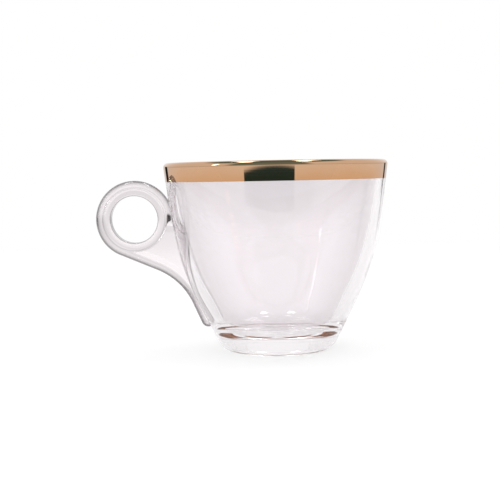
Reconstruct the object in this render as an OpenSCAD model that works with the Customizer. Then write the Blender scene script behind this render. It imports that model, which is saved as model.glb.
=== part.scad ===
// Small clear glass coffee cup with a flat ring handle and a bright gold rim.
// Millimetres. The origin is on the cup's axis at the plane it stands on, +Z is up,
// and the handle points along -X.

/* [Bowl] */
// Outside diameter of the glass at the rim
rim_d = 70; // [60:1:84]
// Height from the table to the top of the glass lip
cup_h = 59.2; // [54:0.2:76]
// Diameter at which the wall's lower line would meet the table
heel_d = 34.8; // [30:0.2:42]
// Lean of the wall from upright just above the heel, in degrees
heel_lean = 27; // [20:1:32]
// Lean of the wall from upright at the rim, in degrees
rim_lean = 6.5; // [2:0.5:9]
// How far the wall keeps its lower lean, along the wall
heel_pull = 25; // [16:1:30]
// How far the wall keeps its upper lean, along the wall
rim_pull = 31; // [22:1:38]
// Radius of the rounded heel
heel_round = 4.6; // [3:0.2:8]
// Thickness of the wall at the lip, which is fully rounded
lip_wall = 2.6; // [2:0.1:3.4]
// Thickness of the wall beside the floor
floor_wall = 4.4; // [3:0.1:6]
// Thickness of the solid glass under the floor
sham_h = 6.6; // [6:0.2:11]
// Height of the rounded corner between floor and wall
floor_round = 5.6; // [4:0.2:12]
// Diameter of the shallow dome under the base
dome_d = 8; // [6:0.2:14]
// Height of the shallow dome under the base
dome_h = 0.5; // [0.3:0.1:1]

/* [Handle] */
// Diameter of the finger hole
hole_d = 14.8; // [13:0.2:18]
// Width of the ring from the hole to its outer edge
ring_w = 4.8; // [4.4:0.1:7]
// Height of the lip above the middle of the finger hole
ring_drop = 17.4; // [16:0.1:24]
// Distance from the wall to the middle of the finger hole
ring_reach = 11.6; // [10:0.1:13]
// Diameter of the round outer edge of the handle
edge_d = 4.4; // [3.4:0.1:5]
// Thickness of the flat web between ring and wall
web_t = 4.2; // [2.8:0.1:4.8]
// Slope of the web's lower edge below level, in degrees
web_slope = 23; // [15:1:30]
// Radius of the hollow curve from the web into the tail
web_round = 21; // [14:0.5:26]
// How far the tail stands out from the wall
tail_proud = 2; // [1.6:0.1:4]
// Height of the tail's lower end above the table
tail_end_h = 7.2; // [6:0.1:12]
// Width of the raised collar round the finger hole
collar_w = 2.3; // [1.6:0.1:2.6]
// Thickness of the handle across the collar
collar_t = 5.2; // [4.9:0.1:7]
// Eased edge of the collar
collar_ease = 0.4; // [0.2:0.05:0.6]

/* [Gold] */
// Thickness of the gold, which on a real cup is a fired film far thinner than this
film_t = 0.1; // [0.06:0.01:0.2]
// Height of the gold from the top of the glass lip down to the band's lower edge
band_h = 5.8; // [4:0.1:12]

/* [Hidden] */
$fn = 96;
// Points along each stretch of the outlines, and halvings in a search along the wall
low_steps = 20;
band_steps = 4;
arc_steps = 12;
search_steps = 24;
// Sections and sides of the handle's round edge
ring_steps = 36;
bend_steps = 8;
end_steps = 4;
edge_sides = 20;
// How far round the domed end of the tail is drawn before it is closed flat, in degrees
end_turn = 75;
// How far a cut runs past what it cuts
past_cut = 1;

// Points are [distance from the axis, height]
function on_curve(p, t) =
    pow(1 - t, 3) * p[0] + 3 * t * pow(1 - t, 2) * p[1]
    + 3 * t * t * (1 - t) * p[2] + pow(t, 3) * p[3];
function curve_way(p, t) =
    pow(1 - t, 2) * (p[1] - p[0]) + 2 * t * (1 - t) * (p[2] - p[1])
    + t * t * (p[3] - p[2]);
function unit(v) = v / norm(v);
function turned_out(v) = [v[1], -v[0]];
function cross_of(a, b) = a[0] * b[1] - a[1] * b[0];
function spot(centre, r, angle) = centre + r * [cos(angle), sin(angle)];
function arc(centre, r, from, to, steps) =
    [for (i = [0 : steps]) spot(centre, r, from + (to - from) * i / steps)];
function back(list) = [for (i = [len(list) - 1 : -1 : 0]) list[i]];

// Outer wall: a rounded heel, then one curve up to the lip
heel_corner = [heel_d / 2, 0];
heel_cut = heel_round * tan((90 - heel_lean) / 2);
heel_way = [sin(heel_lean), cos(heel_lean)];
heel_centre = [heel_corner[0] - heel_cut, heel_round];
lip_r = lip_wall / 2;
lip_centre = [rim_d / 2 - lip_r, cup_h - lip_r];
rim_way = [sin(rim_lean), cos(rim_lean)];
wall_foot = heel_corner + heel_cut * heel_way;
wall_top = spot(lip_centre, lip_r, -rim_lean);
wall = [wall_foot, wall_foot + heel_pull * heel_way, wall_top - rim_pull * rim_way, wall_top];

// Where on the wall's curve a height lies, found by halving
function wall_t(z, low = 0, high = 1, steps = search_steps) =
    steps == 0 ? (low + high) / 2
    : on_curve(wall, (low + high) / 2)[1] < z ? wall_t(z, (low + high) / 2, high, steps - 1)
    : wall_t(z, low, (low + high) / 2, steps - 1);
function wall_point(z) = on_curve(wall, wall_t(z));
function wall_out(t) = turned_out(unit(curve_way(wall, t)));

band_t = wall_t(cup_h - band_h);
heel_points = arc(heel_centre, heel_round, -90, -heel_lean, arc_steps);
wall_low = [for (i = [1 : low_steps]) on_curve(wall, band_t * i / low_steps)];
band_ts = [for (i = [0 : band_steps]) band_t + (1 - band_t) * i / band_steps];
wall_band = [for (t = band_ts) on_curve(wall, t)];
lip_points = arc(lip_centre, lip_r, -rim_lean, 180 - rim_lean, arc_steps);

// Inner wall: the outer wall stepped inwards by a thickness that grows towards the floor
function wall_thickness(z) =
    lip_wall + (floor_wall - lip_wall) * (wall_top[1] - z) / (wall_top[1] - sham_h);
function inner_point(t) = on_curve(wall, t) - wall_thickness(on_curve(wall, t)[1]) * wall_out(t);
function inner_t(z, low = 0, high = 1, steps = search_steps) =
    steps == 0 ? (low + high) / 2
    : inner_point((low + high) / 2)[1] < z ? inner_t(z, (low + high) / 2, high, steps - 1)
    : inner_t(z, low, (low + high) / 2, steps - 1);
corner_t = inner_t(sham_h + floor_round);
inner_wall = [for (i = [0 : low_steps - 1]) inner_point(corner_t + (1 - corner_t) * i / low_steps)];

// Rounded corner of the floor, from the inner wall's line to the level floor
corner_way = unit(curve_way(wall, corner_t));
corner_cut = floor_round / corner_way[1];
corner = inner_wall[0] - corner_cut * corner_way;
floor_edge = corner - [corner_cut, 0];
function corner_point(t) =
    pow(1 - t, 2) * floor_edge + 2 * t * (1 - t) * corner + t * t * inner_wall[0];
corner_points = [for (i = [0 : arc_steps - 1]) corner_point(i / arc_steps)];

// Shallow dome under the base, which leaves a flat standing ring round it
dome_r = (pow(dome_d / 2, 2) + pow(dome_h, 2)) / (2 * dome_h);
dome_half = asin(dome_d / 2 / dome_r);
dome_points = arc([0, dome_h - dome_r], dome_r, 90, 90 - dome_half, arc_steps);

outside = concat(heel_points, wall_low, [for (i = [1 : band_steps]) wall_band[i]]);
lip_rest = [for (i = [1 : arc_steps]) lip_points[i]];
cavity = concat(back(inner_wall), back(corner_points), [[0, sham_h]]);

// Handle: drawn in its own plane as [distance from the axis, height]
edge_r = edge_d / 2;
ring_r = hole_d / 2 + ring_w;
ring_tube_r = ring_r - edge_r;
ring_z = cup_h - ring_drop;
ring_centre = wall_point(ring_z) + [ring_reach, 0];
web_way = -[cos(web_slope), sin(web_slope)];
web_out = -turned_out(web_way);
web_start = ring_centre + ring_r * web_out;
tail_z = tail_end_h + edge_r;
tail_foot = wall_point(tail_z);
tail_mid = wall_point((tail_z + ring_z) / 2);
tail_way = unit(tail_mid - tail_foot);
tail_out = turned_out(tail_way);
tail_start = tail_foot + tail_proud * tail_out;
web_reach = cross_of(tail_start - web_start, tail_way) / cross_of(web_way, tail_way);
web_meets_tail = web_start + web_reach * web_way;
tail_lean = atan2(tail_way[0], tail_way[1]);
bend = 90 - tail_lean - web_slope;
bend_cut = web_round * tan(bend / 2);
web_end = web_meets_tail - bend_cut * web_way;
tail_top = web_meets_tail - bend_cut * tail_way;
bend_centre = web_end + web_round * web_out;
bend_from = 90 + web_slope;
// How far the web runs into the wall before it is cut to the wall's shape
sink = lip_wall;

// Sections of the handle's round edge: middle, way out from the handle, radius
function ring_section(angle) =
    [spot(ring_centre, ring_tube_r, angle), [cos(angle), sin(angle)], edge_r];
function bend_section(angle) =
    [spot(bend_centre, web_round + edge_r, angle), -[cos(angle), sin(angle)], edge_r];
function tail_section(angle) =
    [tail_start - edge_r * (tail_out + sin(angle) * tail_way), tail_out, edge_r * cos(angle)];
edge_sections = concat(
    [for (i = [0 : ring_steps]) ring_section(180 + (web_slope - 270) * i / ring_steps)],
    [for (i = [0 : bend_steps]) bend_section(bend_from + bend * i / bend_steps)],
    [for (i = [0 : end_steps]) tail_section(end_turn * i / end_steps)]
);

module bowl() {
    color([0.93, 0.91, 0.94, 0.4])
        rotate_extrude()
            polygon(concat(dome_points, outside, lip_rest, cavity));
}

// Everything inside the bowl's outer wall, which the handle is shaped to
module bowl_block() {
    rotate_extrude()
        polygon(concat([[0, 0]], outside, [[0, wall_top[1]]]));
}

// Stands a drawing upright in the handle's plane, towards -X
module in_handle_plane() {
    mirror([1, 0, 0])
        rotate([90, 0, 0])
            children();
}

// Flat middle of the handle, inside the round edge
module web() {
    linear_extrude(web_t, center = true)
        polygon(concat(
            [ring_centre, web_start - edge_r * web_out],
            arc(bend_centre, web_round + edge_r, bend_from, bend_from + bend, arc_steps),
            [tail_start - edge_r * tail_out],
            [tail_foot - [sink, 0], [wall_point(ring_z)[0] - sink, ring_z]]
        ));
    translate([ring_centre[0], ring_centre[1], 0])
        cylinder(r = ring_tube_r, h = web_t, center = true);
}

// Round edge of the handle: one tube swept from the wall over the ring, along the web and down the tail
module round_edge() {
    points = [
        for (s = edge_sections, i = [0 : edge_sides - 1])
            let (angle = 360 * i / edge_sides, aside = s[2] * cos(angle) * s[1])
            concat(s[0] + aside, [s[2] * sin(angle)])
    ];
    last = len(edge_sections) - 1;
    sides = [
        for (s = [0 : last - 1], i = [0 : edge_sides - 1])
            let (a = s * edge_sides + i, b = s * edge_sides + (i + 1) % edge_sides)
            each [[a, b + edge_sides, b], [a, a + edge_sides, b + edge_sides]]
    ];
    ends = [
        for (i = [1 : edge_sides - 2])
            each [[0, i, i + 1], last * edge_sides * [1, 1, 1] + [0, i + 1, i]]
    ];
    polyhedron(points, concat(sides, ends));
}

module collar() {
    inside = hole_d / 2 - past_cut;
    edge = hole_d / 2 + collar_w;
    half = collar_t / 2;
    translate([ring_centre[0], ring_centre[1], 0])
        rotate_extrude()
            polygon([
                [inside, -half], [edge - collar_ease, -half], [edge, collar_ease - half],
                [edge, half - collar_ease], [edge - collar_ease, half], [inside, half]
            ]);
}

module finger_hole() {
    half = collar_t / 2;
    r = hole_d / 2;
    flare = collar_ease + past_cut;
    translate([ring_centre[0], ring_centre[1], 0]) {
        cylinder(r = r, h = collar_t + 2 * past_cut, center = true);
        for (side = [0, 1])
            mirror([0, 0, side])
                translate([0, 0, half - collar_ease])
                    cylinder(r1 = r, r2 = r + flare, h = flare);
    }
}

module handle() {
    color([0.93, 0.91, 0.94, 0.4])
        difference() {
            in_handle_plane()
                difference() {
                    union() {
                        web();
                        round_edge();
                        collar();
                    }
                    finger_hole();
                }
            bowl_block();
        }
}

module gold_band() {
    film = [for (t = band_ts) on_curve(wall, t) + film_t * wall_out(t)];
    color([0.83, 0.66, 0.45])
        rotate_extrude()
            polygon(concat(wall_band, back(film)));
}

module gold_lip() {
    film = arc(lip_centre, lip_r + film_t, -rim_lean, 180 - rim_lean, arc_steps);
    color([0.80, 0.62, 0.42])
        rotate_extrude()
            polygon(concat(lip_points, back(film)));
}

bowl();
handle();
gold_band();
gold_lip();
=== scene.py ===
# %% [markdown]
# A small glass coffee cup
#
# The real thing is clear pressed glass: a bowl with a thick solid base, a flat ring handle fused to
# its side, and a bright gold band fired over the rim. Four pieces are modelled here, each over the
# frame piece of the same name: bowl, handle, gold band and gold lip. Glass shows every dent in its
# surface, so all four are made as fine, smooth meshes rather than taken from the frame's triangles.

# %% The frame
import math

import bmesh
import bpy
import numpy as np
from mathutils import Matrix, Vector


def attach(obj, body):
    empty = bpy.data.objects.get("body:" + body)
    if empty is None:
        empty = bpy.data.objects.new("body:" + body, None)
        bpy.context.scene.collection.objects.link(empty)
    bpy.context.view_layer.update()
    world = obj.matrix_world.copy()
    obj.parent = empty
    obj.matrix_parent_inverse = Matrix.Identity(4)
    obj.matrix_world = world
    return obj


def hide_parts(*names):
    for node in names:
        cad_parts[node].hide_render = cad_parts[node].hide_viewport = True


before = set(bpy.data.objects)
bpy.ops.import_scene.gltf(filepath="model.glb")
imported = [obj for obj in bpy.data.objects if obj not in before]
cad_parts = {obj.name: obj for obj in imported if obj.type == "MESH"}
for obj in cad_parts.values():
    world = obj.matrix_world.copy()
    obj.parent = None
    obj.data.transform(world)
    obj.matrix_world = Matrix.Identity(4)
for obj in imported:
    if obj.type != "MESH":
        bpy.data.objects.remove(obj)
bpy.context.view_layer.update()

MM = 0.001
print("frame pieces:", sorted(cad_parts))

# %% [markdown]
# Camera
#
# The cup is seen almost level, from just under the height of its rim, so the rim shows as a straight
# band and only a sliver of the base's curve is seen. A long lens from about a third of a metre keeps
# the sides nearly parallel. The camera could be placed by eye, but a few lengths in millimetres fix it:
# how far it stands, how high the eye is, the point it looks at, and how wide the picture is there.

# %% Camera
EYE_DISTANCE = 320.0
EYE_HEIGHT = 55.6
AIM_POINT = Vector((-8.38, 0.0, 31.44))
PICTURE_WIDTH = 158.3
ROLL = math.radians(1.1)


def add_camera():
    """A long lens just below the rim's height, rolled a little as if held by hand."""
    camera = bpy.data.objects.new("camera", bpy.data.cameras.new("camera"))
    bpy.context.scene.collection.objects.link(camera)
    eye = Vector((AIM_POINT.x, -EYE_DISTANCE, EYE_HEIGHT))
    gaze = AIM_POINT - eye
    camera.data.lens = camera.data.sensor_width * gaze.length / PICTURE_WIDTH
    turn = gaze.to_track_quat("-Z", "Y").to_matrix().to_4x4() @ Matrix.Rotation(-ROLL, 4, "Z")
    camera.matrix_world = Matrix.Translation(eye * MM) @ turn
    bpy.context.scene.camera = camera
    return camera


camera = add_camera()
print("lens in mm:", round(camera.data.lens, 1))

# %% [markdown]
# The bowl's outline
#
# A pressed bowl is round, so one outline says everything: up the outside from the dome under the base,
# round the heel, along the wall, over the full round lip and down the inside to the level floor. The
# outline could be drawn by hand as a curve object. Here it is worked out from the cup's own sizes, in
# millimetres, as points of [distance from the axis, height], so that the gold can follow the same wall.

# %% Sizes of the bowl
RIM_D, CUP_H = 70.0, 59.2
HEEL_D, HEEL_ROUND = 34.8, 4.6
HEEL_LEAN, RIM_LEAN = math.radians(27), math.radians(6.5)
HEEL_PULL, RIM_PULL = 25.0, 31.0
LIP_WALL, FLOOR_WALL = 2.6, 4.4
SHAM_H, FLOOR_ROUND = 6.6, 5.6
DOME_D, DOME_H = 8.0, 0.5


def way(angle):
    """A step of length one that leans outwards from upright by an angle."""
    return np.array([math.sin(angle), math.cos(angle)])


def spots(centre, r, start, end, count):
    """Points along an arc, its ends included."""
    angle = np.linspace(start, end, count)
    return np.asarray(centre) + r * np.stack([np.cos(angle), np.sin(angle)], axis=-1)


def ease(value):
    """Nought to one with level ends."""
    value = np.clip(value, 0, 1)
    return value * value * (3 - 2 * value)


heel_corner = np.array([HEEL_D / 2, 0.0])
heel_cut = HEEL_ROUND * math.tan((math.pi / 2 - HEEL_LEAN) / 2)
heel_centre = heel_corner + [-heel_cut, HEEL_ROUND]
lip_r = LIP_WALL / 2
lip_centre = np.array([RIM_D / 2 - lip_r, CUP_H - lip_r])
wall_foot = heel_corner + heel_cut * way(HEEL_LEAN)
wall_top = spots(lip_centre, lip_r, -RIM_LEAN, -RIM_LEAN, 1)[0]
wall_pull = (wall_foot + HEEL_PULL * way(HEEL_LEAN), wall_top - RIM_PULL * way(RIM_LEAN))


def wall_point(t):
    """Points on the outer wall, from the heel at 0 to the lip at 1."""
    t = np.atleast_1d(t)[:, None]
    a, b = wall_pull
    return (1 - t) ** 3 * wall_foot + 3 * t * (1 - t) ** 2 * a + 3 * t * t * (1 - t) * b + t ** 3 * wall_top


def wall_way(t):
    """Unit steps up the outer wall."""
    t = np.atleast_1d(t)[:, None]
    a, b = wall_pull
    step = (1 - t) ** 2 * (a - wall_foot) + 2 * t * (1 - t) * (b - a) + t * t * (wall_top - b)
    return step / np.linalg.norm(step, axis=1, keepdims=True)


def wall_out(t):
    """Unit steps straight out of the outer wall."""
    step = wall_way(t)
    return np.stack([step[:, 1], -step[:, 0]], axis=-1)


def inner_point(t):
    """The inner wall: the outer wall stepped in by a thickness that grows towards the floor."""
    outer = wall_point(t)
    share = (wall_top[1] - outer[:, 1]) / (wall_top[1] - SHAM_H)
    thickness = LIP_WALL + (FLOOR_WALL - LIP_WALL) * share
    return outer - thickness[:, None] * wall_out(t)


print("wall from", wall_foot.round(2), "to", wall_top.round(2))

# %% [markdown]
# Drawing the outline
#
# The outline is a row of points: the dome, the flat ring that the cup stands on, the heel, the wall,
# the lip, the inner wall and the floor. One long list of points placed by hand would do. Each stretch
# is an arc or a curve, though, so each has its own short function, and a size can change by itself.

# %% Outline of the bowl
FINE = 2000
SAME_POINT = 1e-6
WALL_POINTS, HEEL_POINTS, LIP_POINTS, CORNER_POINTS, DOME_POINTS = 70, 16, 24, 24, 14
FLOOR_POINTS, RING_POINTS = 8, 6


def t_at_height(curve, z):
    """Where on a wall a height lies."""
    t = np.linspace(0, 1, FINE)
    return float(np.interp(z, curve(t)[:, 1], t))


def joined(*stretches):
    """One row of points from several, without the points that two stretches share."""
    points = np.concatenate(stretches)
    apart = np.linalg.norm(np.diff(points, axis=0), axis=1) > SAME_POINT
    return points[np.concatenate([[True], apart])]


def dome_outline():
    """From the middle of the dome under the base down to its edge."""
    r = ((DOME_D / 2) ** 2 + DOME_H ** 2) / (2 * DOME_H)
    half = math.asin(DOME_D / 2 / r)
    return spots([0, DOME_H - r], r, math.pi / 2, math.pi / 2 - half, DOME_POINTS)


def outer_outline():
    """From the standing ring round the heel to the top of the outer wall."""
    heel = spots(heel_centre, HEEL_ROUND, -math.pi / 2, -HEEL_LEAN, HEEL_POINTS)
    return joined(heel, wall_point(np.linspace(0, 1, WALL_POINTS)))


def cavity_outline():
    """From the lip down the inner wall and round the corner to the middle of the floor."""
    corner_t = t_at_height(inner_point, SHAM_H + FLOOR_ROUND)
    inner = inner_point(np.linspace(1, corner_t, WALL_POINTS))
    down = -wall_way(corner_t)[0]
    cut = FLOOR_ROUND / -down[1]
    corner = inner[-1] + cut * down
    floor_edge = corner - [cut, 0]
    t = np.linspace(0, 1, CORNER_POINTS)[:, None]
    bend = (1 - t) ** 2 * inner[-1] + 2 * t * (1 - t) * corner + t * t * floor_edge
    floor = np.linspace(floor_edge, [0, SHAM_H], FLOOR_POINTS)
    return joined(inner, bend, floor)


def bowl_outline():
    """From the middle of the dome, up the outside and down the inside to the middle of the floor."""
    dome = dome_outline()
    outer = outer_outline()
    ring = np.linspace(dome[-1], outer[0], RING_POINTS)
    lip = spots(lip_centre, lip_r, -RIM_LEAN, math.pi - RIM_LEAN, LIP_POINTS)
    return joined(dome, ring, outer, lip, cavity_outline())


bowl_points = bowl_outline()
print("outline of the bowl:", len(bowl_points), "points, highest at", bowl_points[:, 1].max().round(2), "mm")

# %% [markdown]
# Turning an outline
#
# A round piece is its outline swept once about the axis. Blender's Screw modifier or Spin can do that.
# Geometry Nodes do it here, because one small tree then turns all the round pieces, and its inputs are
# named: a flat grid has one row for each step round and one column for each point of the outline, and
# every grid point is moved to its outline point, turned about the axis by its row's angle.

# %% The turning tree
MERGE_WITHIN = 1e-7


def math_node(tree, kind, *values):
    """A Math node with its inputs linked, or set where they are plain numbers."""
    node = tree.nodes.new("ShaderNodeMath")
    node.operation = kind
    for socket, value in zip(node.inputs, values):
        if isinstance(value, bpy.types.NodeSocket):
            tree.links.new(value, socket)
        else:
            socket.default_value = value
    return node.outputs[0]


def turning_tree():
    """Geometry Nodes that turn an outline in the XZ plane once about the Z axis."""
    tree = bpy.data.node_groups.new("turned piece", "GeometryNodeTree")
    sockets = tree.interface
    sockets.new_socket("Outline", in_out="INPUT", socket_type="NodeSocketGeometry")
    sockets.new_socket("Steps Round", in_out="INPUT", socket_type="NodeSocketInt")
    sockets.new_socket("Finish", in_out="INPUT", socket_type="NodeSocketMaterial")
    sockets.new_socket("Piece", in_out="OUTPUT", socket_type="NodeSocketGeometry")
    new, link = tree.nodes.new, tree.links.new
    given = new("NodeGroupInput").outputs
    count = new("GeometryNodeAttributeDomainSize")
    link(given["Outline"], count.inputs["Geometry"])
    points = count.outputs["Point Count"]
    grid = new("GeometryNodeMeshGrid")
    link(math_node(tree, "ADD", given["Steps Round"], 1.0), grid.inputs["Vertices X"])
    link(points, grid.inputs["Vertices Y"])
    index = new("GeometryNodeInputIndex").outputs["Index"]
    row = math_node(tree, "FLOOR", math_node(tree, "DIVIDE", math_node(tree, "ADD", index, 0.5), points))
    column = math_node(tree, "SUBTRACT", index, math_node(tree, "MULTIPLY", row, points))
    angle = math_node(tree, "MULTIPLY", row, math_node(tree, "DIVIDE", 2 * math.pi, given["Steps Round"]))
    sample = new("GeometryNodeSampleIndex")
    sample.data_type = "FLOAT_VECTOR"
    link(given["Outline"], sample.inputs["Geometry"])
    link(new("GeometryNodeInputPosition").outputs["Position"], sample.inputs["Value"])
    link(column, sample.inputs["Index"])
    turn = new("ShaderNodeVectorRotate")
    turn.rotation_type = "Z_AXIS"
    link(sample.outputs["Value"], turn.inputs["Vector"])
    link(angle, turn.inputs["Angle"])
    place = new("GeometryNodeSetPosition")
    link(grid.outputs["Mesh"], place.inputs["Geometry"])
    link(turn.outputs["Vector"], place.inputs["Position"])
    merge = new("GeometryNodeMergeByDistance")
    merge.inputs["Distance"].default_value = MERGE_WITHIN
    link(place.outputs["Geometry"], merge.inputs["Geometry"])
    smooth = new("GeometryNodeSetShadeSmooth")
    link(merge.outputs["Geometry"], smooth.inputs["Geometry"])
    real = new("GeometryNodeRealizeInstances")
    link(smooth.outputs["Geometry"], real.inputs["Geometry"])
    paint = new("GeometryNodeSetMaterial")
    link(real.outputs["Geometry"], paint.inputs["Geometry"])
    link(given["Finish"], paint.inputs["Material"])
    link(paint.outputs["Geometry"], new("NodeGroupOutput").inputs["Piece"])
    return tree


turning = turning_tree()
print("turning tree:", len(turning.nodes), "nodes")

# %% [markdown]
# From tree to plain mesh
#
# What a modifier makes exists only while Blender evaluates the object. The pieces are handed on as plain
# meshes, so the result is copied into a mesh of its own and the modifier is taken off. Merging the points
# at the axis and at the seam leaves a closed skin, and its faces are then all turned outwards. Glass
# needs that, because light bends one way going in and the other way going out.

# %% Turned pieces
SHARP = math.radians(35)


def finish_mesh(mesh):
    """Merges doubles, points every face outwards, and keeps only true corners sharp."""
    work = bmesh.new()
    work.from_mesh(mesh)
    bmesh.ops.remove_doubles(work, verts=work.verts, dist=MERGE_WITHIN)
    bmesh.ops.dissolve_degenerate(work, edges=work.edges, dist=MERGE_WITHIN)
    bmesh.ops.recalc_face_normals(work, faces=work.faces)
    for face in work.faces:
        face.smooth = True
    closed = all(edge.is_manifold for edge in work.edges)
    work.to_mesh(mesh)
    work.free()
    mesh.set_sharp_from_angle(angle=SHARP)
    print(mesh.name, len(mesh.polygons), "faces,", "closed" if closed else "OPEN")


def make_plain(piece, modifier):
    """Works a modifier into the piece's mesh, takes it off and finishes the mesh."""
    bpy.context.view_layer.update()
    graph = bpy.context.evaluated_depsgraph_get()
    raw = piece.data
    piece.data = bpy.data.meshes.new_from_object(piece.evaluated_get(graph))
    piece.modifiers.remove(modifier)
    bpy.data.meshes.remove(raw)
    piece.data.name = piece.name
    finish_mesh(piece.data)


def turned(name, points, steps, finish):
    """A piece turned from an outline in millimetres."""
    outline = bpy.data.meshes.new(name + " outline")
    places = [(r * MM, 0.0, z * MM) for r, z in points]
    outline.from_pydata(places, [(i, i + 1) for i in range(len(places) - 1)], [])
    piece = bpy.data.objects.new(name, outline)
    bpy.context.scene.collection.objects.link(piece)
    lathe = piece.modifiers.new("turn", "NODES")
    lathe.node_group = turning
    inputs = {s.name: s.identifier for s in turning.interface.items_tree if s.in_out == "INPUT"}
    lathe[inputs["Steps Round"]] = steps
    lathe[inputs["Finish"]] = finish
    make_plain(piece, lathe)
    return piece


# %% [markdown]
# Finishes
#
# Pressed glass is clear, but never flat: the mould leaves a slow ripple that bends what is seen through
# it, and fire polish leaves some places a trace less bright. Both glass pieces share that, so it is one
# node group. Fired gold is a mirror with fine lines round the cup, where the brush went, and both gold
# pieces share a second group. The groups give only values; each material keeps its own shader. First
# come the helpers, one for each kind of node that both groups use.

# %% Helpers for finishes
def new_group(name, inputs, outputs):
    """An empty shader node group with float inputs and the named outputs."""
    group = bpy.data.node_groups.new(name, "ShaderNodeTree")
    for label, value in inputs.items():
        group.interface.new_socket(label, in_out="INPUT", socket_type="NodeSocketFloat").default_value = value
    for label, kind in outputs.items():
        group.interface.new_socket(label, in_out="OUTPUT", socket_type=kind)
    return group, group.nodes.new("NodeGroupInput").outputs, group.nodes.new("NodeGroupOutput").inputs


def noise_node(tree, vector, scale, detail):
    """A noise pattern read at a vector."""
    node = tree.nodes.new("ShaderNodeTexNoise")
    tree.links.new(vector, node.inputs["Vector"])
    node.inputs["Detail"].default_value = detail
    if isinstance(scale, bpy.types.NodeSocket):
        tree.links.new(scale, node.inputs["Scale"])
    else:
        node.inputs["Scale"].default_value = scale
    return node.outputs["Fac"]


def ranged(tree, value, low, high, to_low, to_high):
    """A value's range mapped to another."""
    node = tree.nodes.new("ShaderNodeMapRange")
    tree.links.new(value, node.inputs["Value"])
    for label, number in (("From Min", low), ("From Max", high), ("To Min", to_low), ("To Max", to_high)):
        if isinstance(number, bpy.types.NodeSocket):
            tree.links.new(number, node.inputs[label])
        else:
            node.inputs[label].default_value = number
    return node.outputs["Result"]


def placed(tree, scale):
    """Object coordinates stretched by a scale for each axis."""
    spot = tree.nodes.new("ShaderNodeTexCoord").outputs["Object"]
    mapping = tree.nodes.new("ShaderNodeMapping")
    tree.links.new(spot, mapping.inputs["Vector"])
    mapping.inputs["Scale"].default_value = scale
    return mapping.outputs["Vector"]


# %% [markdown]
# Glass
#
# This glass has a faint lilac cast. Its edges look greyer, because they show the darker room bent
# through the glass, and here that shade is painted: the colour of the surface goes from clear to grey
# as the glass is seen more along its face, which Layer Weight measures. The handle's painted shade is
# darker than the bowl's, because all of its edge is round.

# %% Glass
# The edge colours are painted shade, laid over the glass where it is seen along its face.
BOWL_TINT, BOWL_EDGE_SHADE = (0.925, 0.893, 0.911, 1.0), (0.80, 0.77, 0.785, 1.0)
HANDLE_TINT, HANDLE_EDGE_SHADE = (0.93, 0.875, 0.893, 1.0), (0.12, 0.112, 0.115, 1.0)
GLASS_IOR = 1.5
BOWL_EDGE_SHADE_RANGE, HANDLE_EDGE_SHADE_RANGE = (0.2, 0.5), (0.0, 0.42)
# Ripples to a metre, and their height in millimetres
BOWL_RIPPLE, HANDLE_RIPPLE = (110.0, 0.12), (120.0, 0.012)
RIPPLE_STRETCH = (1.0, 1.0, 0.35)
POLISH_CLOUDS, POLISH_RANGE = 140.0, (0.5, 0.75)
EVEN = (1.0, 1.0, 1.0)


def pressed_glass_group():
    """Slow mould ripple as a height, and a trace of unevenness in the polish."""
    group, given, out = new_group(
        "pressed glass",
        {"Ripples Per Metre": 90.0, "Least Roughness": 0.0, "Most Roughness": 0.02},
        {"Height": "NodeSocketFloat", "Roughness": "NodeSocketFloat"},
    )
    tall = placed(group, RIPPLE_STRETCH)
    group.links.new(noise_node(group, tall, given["Ripples Per Metre"], 1.0), out["Height"])
    cloud = noise_node(group, placed(group, EVEN), POLISH_CLOUDS, 3.0)
    roughness = ranged(group, cloud, *POLISH_RANGE, given["Least Roughness"], given["Most Roughness"])
    group.links.new(roughness, out["Roughness"])
    return group


def glass(name, clear, edge, edge_shade_range, ripples, ripple_height):
    """Clear glass with a faint lilac cast, and painted shade where it is seen along its surface."""
    material = bpy.data.materials.new(name)
    material.use_nodes = True
    tree = material.node_tree
    shader = tree.nodes["Principled BSDF"]
    rim = tree.nodes.new("ShaderNodeLayerWeight")
    rim.inputs["Blend"].default_value = 0.5
    # Painted shade: the colour darkens towards the edge colour as the glass is seen edge-on.
    tint_and_shade = tree.nodes.new("ShaderNodeMix")
    tint_and_shade.data_type = "RGBA"
    tree.links.new(ranged(tree, rim.outputs["Facing"], *edge_shade_range, 0.0, 1.0), tint_and_shade.inputs["Factor"])
    tint_and_shade.inputs["A"].default_value = clear
    tint_and_shade.inputs["B"].default_value = edge
    tree.links.new(tint_and_shade.outputs["Result"], shader.inputs["Base Color"])
    shader.inputs["Metallic"].default_value = 0.0
    shader.inputs["Transmission Weight"].default_value = 1.0
    shader.inputs["IOR"].default_value = GLASS_IOR
    pressed = tree.nodes.new("ShaderNodeGroup")
    pressed.node_tree = pressed_glass
    pressed.inputs["Ripples Per Metre"].default_value = ripples
    bump = tree.nodes.new("ShaderNodeBump")
    bump.inputs["Distance"].default_value = ripple_height * MM
    bump.inputs["Strength"].default_value = 1.0
    tree.links.new(pressed.outputs["Height"], bump.inputs["Height"])
    tree.links.new(bump.outputs["Normal"], shader.inputs["Normal"])
    tree.links.new(pressed.outputs["Roughness"], shader.inputs["Roughness"])
    return material


pressed_glass = pressed_glass_group()
clear_glass = glass("clear glass", BOWL_TINT, BOWL_EDGE_SHADE, BOWL_EDGE_SHADE_RANGE, *BOWL_RIPPLE)
handle_glass = glass("handle glass", HANDLE_TINT, HANDLE_EDGE_SHADE, HANDLE_EDGE_SHADE_RANGE, *HANDLE_RIPPLE)
print("glass:", clear_glass.name, "and", handle_glass.name)

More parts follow.
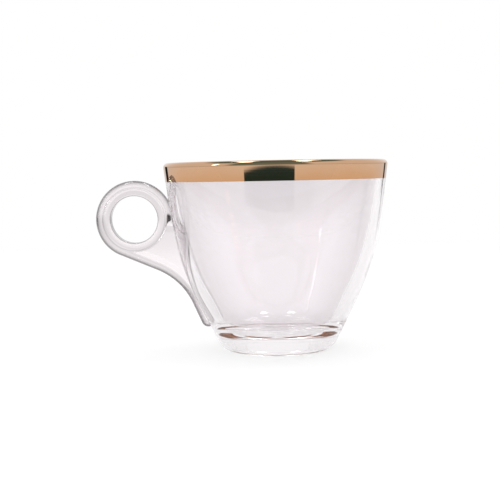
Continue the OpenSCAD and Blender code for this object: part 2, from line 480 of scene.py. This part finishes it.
# %% [markdown]
# Gold
#
# Bright gold is fired on as a thin film and needs no polish, so it mirrors the room almost sharply. One
# plain metal colour would look like foil. Fine lines round the cup break the reflection a little. The
# colour runs from a warmer tone at the lower edge of the band to a paler one at the lip, a painted
# highlight for the brighter room that the top of the band mirrors.

# %% Gold
BAND_H = 5.8
LOW_GOLD = (0.56, 0.3, 0.147, 1.0)
# The paler colour at the lip is a painted highlight.
PALE_HIGHLIT_GOLD = (0.59, 0.37, 0.23, 1.0)
# Lines to a metre, and their height in millimetres
BAND_LINES, LIP_LINES = (2600.0, 0.0003), (1500.0, 0.002)
LINE_STRETCH, LINE_RANGE = (0.012, 0.012, 1.0), (0.3, 0.75)
CLOUD_STRETCH, CLOUDS, CLOUD_RANGE = (0.4, 0.4, 1.0), 160.0, (0.3, 0.7)
WANDER = 0.2


def gilding_group():
    """Fine lines round the cup as a height, their roughness, and a painted highlight mask that rises to the
    lip.
    """
    group, given, out = new_group(
        "gilding",
        {"Lines Per Metre": 2600.0, "Least Roughness": 0.015, "Most Roughness": 0.04},
        {"Lines": "NodeSocketFloat", "Highlight Rise": "NodeSocketFloat", "Roughness": "NodeSocketFloat"},
    )
    lines = noise_node(group, placed(group, LINE_STRETCH), given["Lines Per Metre"], 3.0)
    group.links.new(lines, out["Lines"])
    cloud = noise_node(group, placed(group, CLOUD_STRETCH), CLOUDS, 2.0)
    level = group.nodes.new("ShaderNodeSeparateXYZ")
    group.links.new(placed(group, EVEN), level.inputs["Vector"])
    # Painted highlight: rises from the band's lower edge to the lip, with a little random wander.
    highlight_rise = ranged(group, level.outputs["Z"], (CUP_H - BAND_H) * MM, (CUP_H - LIP_WALL / 2) * MM, 0.0, 1.0)
    wander = ranged(group, cloud, *CLOUD_RANGE, -WANDER, WANDER)
    group.links.new(math_node(group, "ADD", highlight_rise, wander), out["Highlight Rise"])
    roughness = ranged(group, lines, *LINE_RANGE, given["Least Roughness"], given["Most Roughness"])
    group.links.new(roughness, out["Roughness"])
    return group


def gold(name, low, high, lines, line_height):
    """Fired bright gold: a mirror with fine lines, and a painted highlight that pales it towards the lip."""
    material = bpy.data.materials.new(name)
    material.use_nodes = True
    tree = material.node_tree
    shader = tree.nodes["Principled BSDF"]
    shader.inputs["Metallic"].default_value = 1.0
    gilt = tree.nodes.new("ShaderNodeGroup")
    gilt.node_tree = gilding
    gilt.inputs["Lines Per Metre"].default_value = lines
    colour = tree.nodes.new("ShaderNodeMix")
    colour.data_type = "RGBA"
    colour.inputs["A"].default_value = low
    colour.inputs["B"].default_value = high
    tree.links.new(gilt.outputs["Highlight Rise"], colour.inputs["Factor"])
    tree.links.new(colour.outputs["Result"], shader.inputs["Base Color"])
    tree.links.new(gilt.outputs["Roughness"], shader.inputs["Roughness"])
    bump = tree.nodes.new("ShaderNodeBump")
    bump.inputs["Distance"].default_value = line_height * MM
    tree.links.new(gilt.outputs["Lines"], bump.inputs["Height"])
    tree.links.new(bump.outputs["Normal"], shader.inputs["Normal"])
    return material


gilding = gilding_group()
bright_gold = gold("bright gold", LOW_GOLD, PALE_HIGHLIT_GOLD, *BAND_LINES)
lip_gold = gold("lip gold", LOW_GOLD, PALE_HIGHLIT_GOLD, *LIP_LINES)
print("gold:", bright_gold.name, "and", lip_gold.name)

# %% [markdown]
# Bowl
#
# The bowl is one pressing, wall and base together. Its wall is a lens, so facets would show as bands:
# many steps round and a close outline keep it smooth.

# %% Bowl
BOWL_STEPS = 240
bowl = turned("bowl_glass", bowl_points, BOWL_STEPS, clear_glass)

# %% [markdown]
# Gold band and gold lip
#
# The gold is a film laid on the glass. As a mesh it needs a little thickness, and its inner face is sunk
# a hair into the glass, so that no sliver of air between the two shows from inside the cup.

# %% Gold pieces
FILM_OUT, FILM_IN = 0.08, 0.03
BAND_POINTS = 24


def film(centre_points, outward):
    """The closed outline of a film over a row of points."""
    outer = centre_points + FILM_OUT * outward
    inner = centre_points - FILM_IN * outward
    return np.concatenate([inner, outer[::-1], inner[:1]])


band_t = np.linspace(t_at_height(wall_point, CUP_H - BAND_H), 1, BAND_POINTS)
band_outline = film(wall_point(band_t), wall_out(band_t))
gold_band = turned("gold_band_film", band_outline, BOWL_STEPS, bright_gold)
lip_way = spots([0, 0], 1, -RIM_LEAN, math.pi - RIM_LEAN, LIP_POINTS)
lip_outline = film(lip_centre + lip_r * lip_way, lip_way)
gold_lip = turned("gold_lip_film", lip_outline, BOWL_STEPS, lip_gold)

# %% [markdown]
# Handle
#
# The handle is a flat plate of glass with a round edge: a ring with a raised collar about the finger
# hole, a web that runs down to the wall, and a tail along it. Booleans of tubes and plates would leave
# hard creases, where fire polish leaves soft ones. So the plate is written as a distance: a formula
# gives how far any point lies outside the glass, soft joins included, and a net of small quads is drawn
# onto the surface where that distance is nought. The net is then cut to the bowl's wall.

# %% Sizes of the handle
HOLE_D, RING_W = 14.8, 4.8
RING_DROP, RING_REACH = 17.4, 11.6
EDGE_D, WEB_T = 4.4, 4.2
WEB_SLOPE, WEB_ROUND = math.radians(23), 21.0
TAIL_PROUD, TAIL_END_H = 2.0, 7.2
COLLAR_W, COLLAR_T, COLLAR_EASE = 2.3, 5.2, 0.4

hole_r = HOLE_D / 2
edge_r = EDGE_D / 2
ring_r = hole_r + RING_W


def wall_at(z):
    """The point of the outer wall at a height."""
    return wall_point(t_at_height(wall_point, z))[0]


def crossed(a, b):
    """The cross product of two flat vectors."""
    return a[0] * b[1] - a[1] * b[0]


ring_z = CUP_H - RING_DROP
ring_centre = wall_at(ring_z) + [RING_REACH, 0]
web_way = -np.array([math.cos(WEB_SLOPE), math.sin(WEB_SLOPE)])
web_down = np.array([math.sin(WEB_SLOPE), -math.cos(WEB_SLOPE)])
web_start = ring_centre + ring_r * web_down
tail_foot = wall_at(TAIL_END_H + edge_r)
tail_mid = wall_at((TAIL_END_H + edge_r + ring_z) / 2)
tail_up = (tail_mid - tail_foot) / np.linalg.norm(tail_mid - tail_foot)
tail_out = np.array([tail_up[1], -tail_up[0]])
tail_start = tail_foot + TAIL_PROUD * tail_out
web_reach = crossed(tail_start - web_start, tail_up) / crossed(web_way, tail_up)
web_meets_tail = web_start + web_reach * web_way
bend = math.pi / 2 - math.atan2(tail_up[0], tail_up[1]) - WEB_SLOPE
web_end = web_meets_tail - WEB_ROUND * math.tan(bend / 2) * web_way
bend_centre = web_end + WEB_ROUND * web_down
print("ring centre", ring_centre.round(3), "web down", web_down.round(3), "bend centre", bend_centre.round(3))

# %% [markdown]
# The handle as a distance
#
# A soft minimum of two distances rounds the inner corner where two shapes meet, as fire polish does. A
# Bevel after a Boolean could round some of these edges, but it fails where several of them run together.
# The inset keeps the finished net a hair inside the frame's handle, so that nothing grows.

# %% Distance to the handle
WEB_DIP = (EDGE_D - WEB_T) / 2
DIP_REACH = 2.0
COLLAR_SOFT, HOLE_SOFT = 0.5, 0.6
BACK_DEPTH = 2.0
INSET = 0.005

wall_line = wall_point(np.linspace(0, 1, FINE))


def soft_min(a, b, reach):
    """The smaller of two distances, blended where they are closer than a reach."""
    gap = np.clip(reach - np.abs(a - b), 0, None)
    return np.minimum(a, b) - gap * gap / (4 * reach)


def soft_max(a, b, reach):
    """The larger of two distances, blended where they are closer than a reach."""
    return -soft_min(-a, -b, reach)


def depth_from_edge(p):
    """How far inside the handle's outer edge a point of its plane lies."""
    from_ring = ring_r - np.linalg.norm(p - ring_centre, axis=1)
    from_bend = p - bend_centre
    angle = np.arctan2(from_bend @ web_way, -(from_bend @ web_down))
    below_web = -(p - web_start) @ web_down
    below_bend = np.linalg.norm(from_bend, axis=1) - WEB_ROUND
    beside_tail = -(p - tail_start) @ tail_out
    lower = np.where(angle < 0, below_web, np.where(angle < bend, below_bend, beside_tail))
    end_centre = tail_start - edge_r * tail_out
    past_end = -(p - end_centre) @ tail_up
    aside = np.clip((p - end_centre) @ tail_out, 0, None)
    end = edge_r - np.hypot(past_end, aside)
    lower = np.where(past_end > 0, np.minimum(lower, end), lower)
    in_web = np.minimum(lower, ring_z - p[:, 1])
    on_wall_side = (p - ring_centre) @ web_way > 0
    return np.where(on_wall_side, np.maximum(from_ring, in_web), from_ring)


def handle_distance(points):
    """How far points of [distance from the axis, height, across] lie outside the handle."""
    p, across = points[:, :2], np.abs(points[:, 2])
    depth = depth_from_edge(p)
    dip = WEB_DIP * ease((depth - edge_r) / DIP_REACH)
    plate = np.hypot(np.clip(edge_r - depth, 0, None), across + dip) - edge_r
    from_centre = np.linalg.norm(p - ring_centre, axis=1)
    over = np.stack([
        np.abs(from_centre - hole_r) - (COLLAR_W - COLLAR_EASE),
        across - (COLLAR_T / 2 - COLLAR_EASE),
    ])
    collar = np.hypot(*np.clip(over, 0, None)) + np.clip(over.max(axis=0), None, 0) - COLLAR_EASE
    solid = soft_min(plate, collar, COLLAR_SOFT)
    pierced = soft_max(solid, hole_r - from_centre, HOLE_SOFT)
    in_wall = np.interp(p[:, 1], wall_line[:, 1], wall_line[:, 0]) - p[:, 0]
    return np.maximum(pierced, in_wall - BACK_DEPTH) + INSET


ring_edge = np.array([[ring_centre[0] + ring_r, ring_centre[1], 0.0]])
print("inset at the ring's outer edge in mm:", handle_distance(ring_edge).round(4))

# %% [markdown]
# A net over the handle
#
# A shape that is only a formula still has to become faces. Volume to Mesh can do that, but it leaves
# steps along the edges. Here space is split into small cells, each cell that the surface passes through
# gets one point, and the points are slid onto the surface and evened out a few times.

# %% Net over the handle
CELL = 0.3
SETTLE_STEPS, RELAX_STEPS = 5, 4
PROBE = 0.01
LEAST_SLOPE = 0.1
NET_MARGIN = 1.0


def slope(distance, points):
    """How the distance changes along each axis."""
    steps = PROBE * np.eye(3)
    return np.stack([distance(points + s) - distance(points - s) for s in steps], axis=1) / (2 * PROBE)


def settle(distance, points):
    """Points drawn onto the surface where the distance is nought."""
    for _ in range(SETTLE_STEPS):
        up = slope(distance, points)
        step = distance(points) / np.clip((up * up).sum(axis=1), LEAST_SLOPE, None)
        points = points - np.clip(step, -CELL, CELL)[:, None] * up
    return points


def relax(points, quads):
    """Each point moved halfway to the middle of its neighbours."""
    total = np.zeros_like(points)
    count = np.zeros(len(points))
    for a, b in ((0, 1), (1, 2), (2, 3), (3, 0)):
        for one, other in ((a, b), (b, a)):
            np.add.at(total, quads[:, one], points[quads[:, other]])
            np.add.at(count, quads[:, one], 1)
    return (points + total / count[:, None]) / 2


def net_over(distance, low, high):
    """A net of quads on the surface: one point in each cell that it passes through."""
    counts = np.ceil((high - low) / CELL).astype(int) + 1
    axes = [low[k] + CELL * np.arange(counts[k]) for k in range(3)]
    grid = np.stack(np.meshgrid(*axes, indexing="ij"), axis=-1).reshape(-1, 3)
    inside = (distance(grid) < 0).reshape(counts)
    held = sum(
        inside[i:counts[0] - 1 + i, j:counts[1] - 1 + j, k:counts[2] - 1 + k].astype(int)
        for i in (0, 1) for j in (0, 1) for k in (0, 1)
    )
    passed = (held > 0) & (held < 8)
    number = np.full(passed.shape, -1)
    number[passed] = np.arange(passed.sum())
    points = low + CELL * (np.argwhere(passed) + 0.5)
    quads = []
    for k in range(3):
        first = np.take(inside, range(counts[k] - 1), axis=k)
        second = np.take(inside, range(1, counts[k]), axis=k)
        edges = np.argwhere(first != second)
        one, other = np.eye(3, dtype=int)[(k + 1) % 3], np.eye(3, dtype=int)[(k + 2) % 3]
        around = [edges - one - other, edges - other, edges, edges - one]
        quads.append(np.stack([number[tuple(cell.T)] for cell in around], axis=1))
    quads = np.concatenate(quads)
    points = settle(distance, points)
    for _ in range(RELAX_STEPS):
        points = settle(distance, relax(points, quads))
    return points, quads


net_back, net_foot = tail_foot[0] - BACK_DEPTH, TAIL_END_H
net_low = np.array([net_back, net_foot, -COLLAR_T / 2]) - NET_MARGIN
net_high = np.array([*(ring_centre + ring_r), COLLAR_T / 2]) + NET_MARGIN
net_points, net_quads = net_over(handle_distance, net_low, net_high)
print("net over the handle:", len(net_points), "points, off the surface by at most",
      np.abs(handle_distance(net_points)).max().round(4), "mm")

# %% [markdown]
# Joining the handle to the wall
#
# On the real cup the hot handle is pressed onto the bowl. The net runs on into the wall, and a Boolean
# modifier takes away what lies inside the bowl. A hair of the handle stays inside, so that no gap shows.

# %% Handle
JOIN = 0.02


def meshed(name, points, quads, finish):
    """A piece from points of [distance from the axis, height, across], in millimetres."""
    mesh = bpy.data.meshes.new(name)
    places = np.stack([-points[:, 0], points[:, 2], points[:, 1]], axis=1) * MM
    mesh.from_pydata(places.tolist(), [], quads.tolist())
    mesh.materials.append(finish)
    piece = bpy.data.objects.new(name, mesh)
    bpy.context.scene.collection.objects.link(piece)
    finish_mesh(mesh)
    return piece


def cut_to_wall(piece):
    """Takes away what lies inside the bowl, all but a hair, so that the two join without a gap."""
    inside = outer_outline() - [JOIN, 0]
    block_points = np.concatenate([[[0, 0]], inside, [[0, inside[-1, 1]]]])
    block = turned("block", block_points, BOWL_STEPS, handle_glass)
    cut = piece.modifiers.new("cut", "BOOLEAN")
    cut.operation = "DIFFERENCE"
    cut.solver = "EXACT"
    cut.object = block
    make_plain(piece, cut)
    bpy.data.objects.remove(block)


handle = meshed("handle_glass", net_points, net_quads, handle_glass)
cut_to_wall(handle)

# %% [markdown]
# Floor
#
# The cup stands on a plain pale table. A large plane would do, but its far edge would draw a line through
# the glass, so the table fades out at the back and at the sides. Its colour is a mid grey that takes the
# shadow, and a glow that only the camera, mirrors and glass see lifts it to white. Sizes are in metres.

# %% Floor
TABLE_LEFT, TABLE_RIGHT = -0.5, 0.5
TABLE_FRONT, TABLE_BACK = -0.17, 0.46
TABLE_FADE = 0.24
FLOOR_GAP = 0.00005
FLOOR_SHADE, FLOOR_GLOW = 0.3, 0.71


def add_floor():
    """A pale table top that looks white and still takes the cup's shadow."""
    mesh = bpy.data.meshes.new("floor")
    corners = [
        (TABLE_LEFT, TABLE_FRONT, -FLOOR_GAP),
        (TABLE_RIGHT, TABLE_FRONT, -FLOOR_GAP),
        (TABLE_RIGHT, TABLE_BACK, -FLOOR_GAP),
        (TABLE_LEFT, TABLE_BACK, -FLOOR_GAP),
    ]
    mesh.from_pydata(corners, [], [(0, 1, 2, 3)])
    floor = bpy.data.objects.new("floor", mesh)
    bpy.context.scene.collection.objects.link(floor)
    material = bpy.data.materials.new("pale floor")
    material.use_nodes = True
    tree = material.node_tree
    shader = tree.nodes["Principled BSDF"]
    shader.inputs["Base Color"].default_value = (FLOOR_SHADE, FLOOR_SHADE, FLOOR_SHADE, 1.0)
    shader.inputs["Roughness"].default_value = 1.0
    shader.inputs["Specular IOR Level"].default_value = 0.0
    path = tree.nodes.new("ShaderNodeLightPath").outputs
    seen = math_node(tree, "MAXIMUM", path["Is Camera Ray"], path["Is Glossy Ray"])
    seen = math_node(tree, "MAXIMUM", seen, path["Is Transmission Ray"])
    shader.inputs["Emission Color"].default_value = (1.0, 1.0, 1.0, 1.0)
    tree.links.new(math_node(tree, "MULTIPLY", seen, FLOOR_GLOW), shader.inputs["Emission Strength"])
    place = tree.nodes.new("ShaderNodeSeparateXYZ")
    tree.links.new(tree.nodes.new("ShaderNodeTexCoord").outputs["Object"], place.inputs["Vector"])
    aside = math_node(tree, "ABSOLUTE", place.outputs["X"])
    back_fade = ranged(tree, place.outputs["Y"], TABLE_BACK - TABLE_FADE, TABLE_BACK, 1.0, 0.0)
    side_fade = ranged(tree, aside, TABLE_RIGHT - TABLE_FADE, TABLE_RIGHT, 1.0, 0.0)
    tree.links.new(math_node(tree, "MULTIPLY", back_fade, side_fade), shader.inputs["Alpha"])
    mesh.materials.append(material)
    return floor


floor = add_floor()
print("table in mm:", [round(side / MM) for side in floor.dimensions])

# %% [markdown]
# Light
#
# Glass and gold have little colour of their own: they show what is round them. Glowing sheets and lamps
# could be built round the cup. Here the world itself is a white tent with soft patches by direction: a
# dimmer horizon, lamps overhead and at one side, and dark gaps that draw the edges of the glass. Three
# patches count only in reflections, so that the gold has something dark to show and the glass stays
# clear. The camera itself sees plain white.

# %% Light tent
WHITE = (1.0, 1.0, 1.0, 1.0)
ALL_ROUND = 180.0
# Each patch: direction round from the camera's side, height, half width, half height and softness in
# degrees, and its colour. A later patch lies over an earlier one.
TENT_PATCHES = {
    "horizon": (0.0, -7.0, ALL_ROUND, 13.0, 4.0, (0.82, 0.82, 0.82, 1.0)),
    "glow by the table": (0.0, -20.0, ALL_ROUND, 16.1, 3.1, (1.07, 1.07, 1.07, 1.0)),
    "dark gap left": (-150.0, -1.0, 5.0, 4.5, 1.5, (0.01, 0.01, 0.01, 1.0)),
    "dark gap right": (148.0, -1.0, 3.0, 4.5, 1.5, (0.03, 0.02, 0.02, 1.0)),
    "front wall": (-8.0, 32.0, 42.0, 29.0, 7.0, (0.22, 0.31, 0.29, 1.0)),
    "ceiling": (0.0, 74.0, ALL_ROUND, 22.0, 4.0, (0.16, 0.24, 0.22, 1.0)),
    "overhead lamp left": (-92.0, 74.0, 16.0, 4.0, 1.0, (12.0, 12.0, 12.0, 1.0)),
    "overhead lamp right": (84.0, 74.0, 16.0, 4.0, 1.0, (12.0, 12.0, 12.0, 1.0)),
    "back lamp left": (-155.0, 66.0, 8.0, 6.0, 1.0, (8.0, 8.0, 8.0, 1.0)),
    "back lamp right": (150.0, 66.0, 8.0, 6.0, 1.0, (8.0, 8.0, 8.0, 1.0)),
    "side lamp": (-67.0, 25.0, 2.0, 10.0, 0.8, (9.0, 9.0, 9.0, 1.0)),
    "front opening": (-7.5, -24.0, 25.5, 11.5, 0.3, (0.03, 0.07, 0.08, 1.0)),
}
MIRRORED_ONLY = ("front wall", "ceiling", "front opening")


def angle_mask(tree, value, middle, half, soft):
    """One within a range of angles and nought outside it, with a soft edge."""
    off = math_node(tree, "SUBTRACT", value, math.radians(middle))
    off = math_node(tree, "WRAP", off, math.pi, -math.pi)
    edge = tree.nodes.new("ShaderNodeMapRange")
    edge.interpolation_type = "SMOOTHSTEP"
    tree.links.new(math_node(tree, "ABSOLUTE", off), edge.inputs["Value"])
    edge.inputs["From Min"].default_value = math.radians(half - soft)
    edge.inputs["From Max"].default_value = math.radians(half + soft)
    edge.inputs["To Min"].default_value = 1.0
    edge.inputs["To Max"].default_value = 0.0
    return edge.outputs["Result"]


def laid_over(tree, below, mask, above):
    """A colour laid over another where the mask is one."""
    mix = tree.nodes.new("ShaderNodeMix")
    mix.data_type = "RGBA"
    tree.links.new(mask, mix.inputs["Factor"])
    tree.links.new(below, mix.inputs["A"])
    mix.inputs["B"].default_value = above
    return mix.outputs["Result"]


def add_tent():
    """White light from all round, with soft patches by direction."""
    world = bpy.data.worlds.new("light tent")
    world.use_nodes = True
    bpy.context.scene.world = world
    tree = world.node_tree
    look = tree.nodes.new("ShaderNodeTexCoord").outputs["Generated"]
    parts = tree.nodes.new("ShaderNodeSeparateXYZ")
    tree.links.new(look, parts.inputs["Vector"])
    toward = math_node(tree, "MULTIPLY", parts.outputs["Y"], -1.0)
    around = math_node(tree, "ARCTAN2", parts.outputs["X"], toward)
    height = math_node(tree, "ARCSINE", parts.outputs["Z"])
    white = tree.nodes.new("ShaderNodeRGB").outputs["Color"]
    white.default_value = WHITE
    colour = white
    path = tree.nodes.new("ShaderNodeLightPath").outputs
    mirrored = math_node(tree, "MULTIPLY", path["Is Glossy Ray"], path["Is Reflection Ray"])
    for name, (turn, high, half_wide, half_high, soft, shade) in TENT_PATCHES.items():
        mask = angle_mask(tree, height, high, half_high, soft)
        if half_wide < ALL_ROUND:
            mask = math_node(tree, "MULTIPLY", mask, angle_mask(tree, around, turn, half_wide, soft))
        if name in MIRRORED_ONLY:
            mask = math_node(tree, "MULTIPLY", mask, mirrored)
        colour = laid_over(tree, colour, mask, shade)
    colour = laid_over(tree, colour, path["Is Camera Ray"], WHITE)
    tree.links.new(colour, tree.nodes["Background"].inputs["Color"])
    return world


add_tent()
print("tent patches:", ", ".join(TENT_PATCHES))

# %% [markdown]
# Render settings
#
# Light in a thick glass base is turned back many times before it finds a way out, and a path that is cut
# short ends in black. So the limits on bounces are raised. Colours are shown as they are, with no curve.

# %% Render settings
BOUNCES = 64
scene = bpy.context.scene
scene.view_settings.view_transform = "Standard"
scene.cycles.max_bounces = BOUNCES
scene.cycles.transmission_bounces = BOUNCES
scene.cycles.glossy_bounces = BOUNCES
print("light bounces:", BOUNCES)

# %% [markdown]
# Handing over
#
# Each piece stands for the frame piece of its own kind and rides on the one body that the cup has.

# %% Handing over
PIECES = (
    (bowl, "bowl", "clear_glass"),
    (handle, "handle", "handle_glass"),
    (gold_band, "gold_band", "bright_gold"),
    (gold_lip, "gold_lip", "lip_gold"),
)
for piece, node, slot in PIECES:
    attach(piece, "root")
    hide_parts(node)
